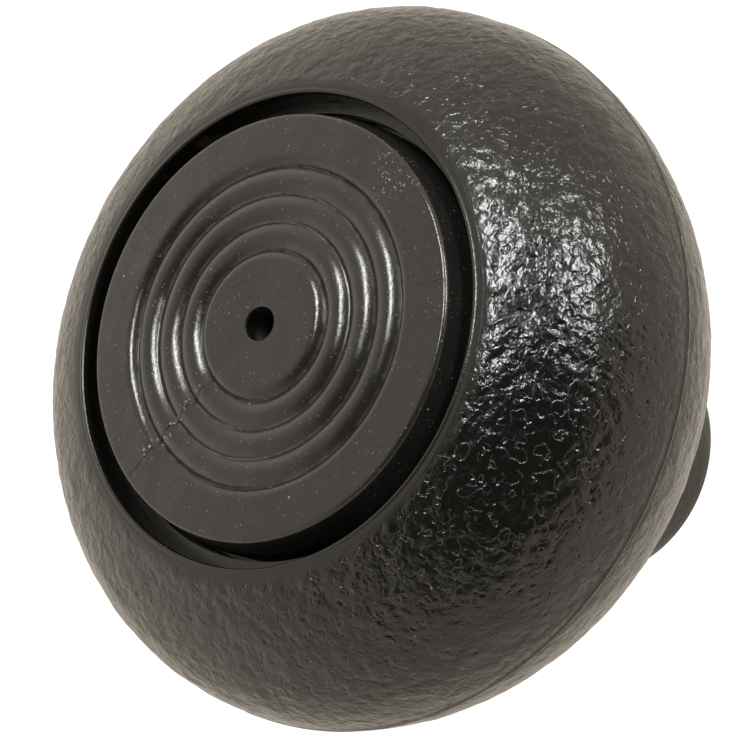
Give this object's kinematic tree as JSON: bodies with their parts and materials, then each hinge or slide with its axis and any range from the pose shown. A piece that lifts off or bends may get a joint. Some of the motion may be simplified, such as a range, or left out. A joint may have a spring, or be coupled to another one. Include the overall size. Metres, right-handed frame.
{
  "type": "lever knob with push button",
  "caption": "Black leather-grained lever knob of squashed-ball shape: threaded neck at the back, and in the front a ribbed disc that works as a sprung push button.",
  "frame": {"origin": "centre of the neck's end face, where the lever enters", "axes": "+Z along the knob's axis, from the neck to the button"},
  "size_m": [0.054, 0.054, 0.0463],
  "materials": {
    "black_plastic": "leather-grained, moulded",
    "disc_plastic": "smooth, moulded, slightly worn",
    "carrier_plastic": "moulded phenolic",
    "fibre_sheet": "red vulcanised fibre",
    "ring_rubber": "smooth",
    "bush_brass": "turned and knurled",
    "guide_brass": "turned",
    "contact_brass": "stamped",
    "contact_bronze": "stamped phosphor bronze",
    "contact_silver": "silver, dulled",
    "rivet_brass": "headed",
    "screw_brass": "turned",
    "plunger_steel": "ground",
    "washer_steel": "stamped, zinc plated",
    "clip_steel": "blackened spring steel",
    "spring_steel": "spring wire",
    "screw_steel": "zinc plated"
  },
  "bodies": {
    "knob": {"front_shell": "black_plastic", "rear_shell": "black_plastic", "lever_bush": "bush_brass", "switch_carrier": "carrier_plastic", "insulating_disc": "fibre_sheet", "guide_bush": "guide_brass", "spring_seat": "washer_steel", "return_spring": "spring_steel", "fixed_contact_left": "contact_brass", "fixed_contact_right": "contact_brass", "contact_tips": "contact_silver", "contact_rivets": "rivet_brass", "terminal_screws": "screw_brass", "terminal_washers": "rivet_brass", "damping_ring": "ring_rubber", "carrier_screws": "screw_steel", "shell_screws": "screw_steel"},
    "push_button": {"ringed_disc": "disc_plastic", "plunger": "plunger_steel", "plunger_washer": "washer_steel", "plunger_clip": "clip_steel", "contact_ring": "contact_bronze", "ring_rivets": "rivet_brass"}
  },
  "joints": [
    {"name": "button_press", "type": "slide", "parent": "knob", "child": "push_button", "axis": [0, 0, -1], "range_m": [0, 0.0015], "stiffness_N_per_m": 900, "springref_m": -0.002, "deforming": ["return_spring"]}
  ]
}
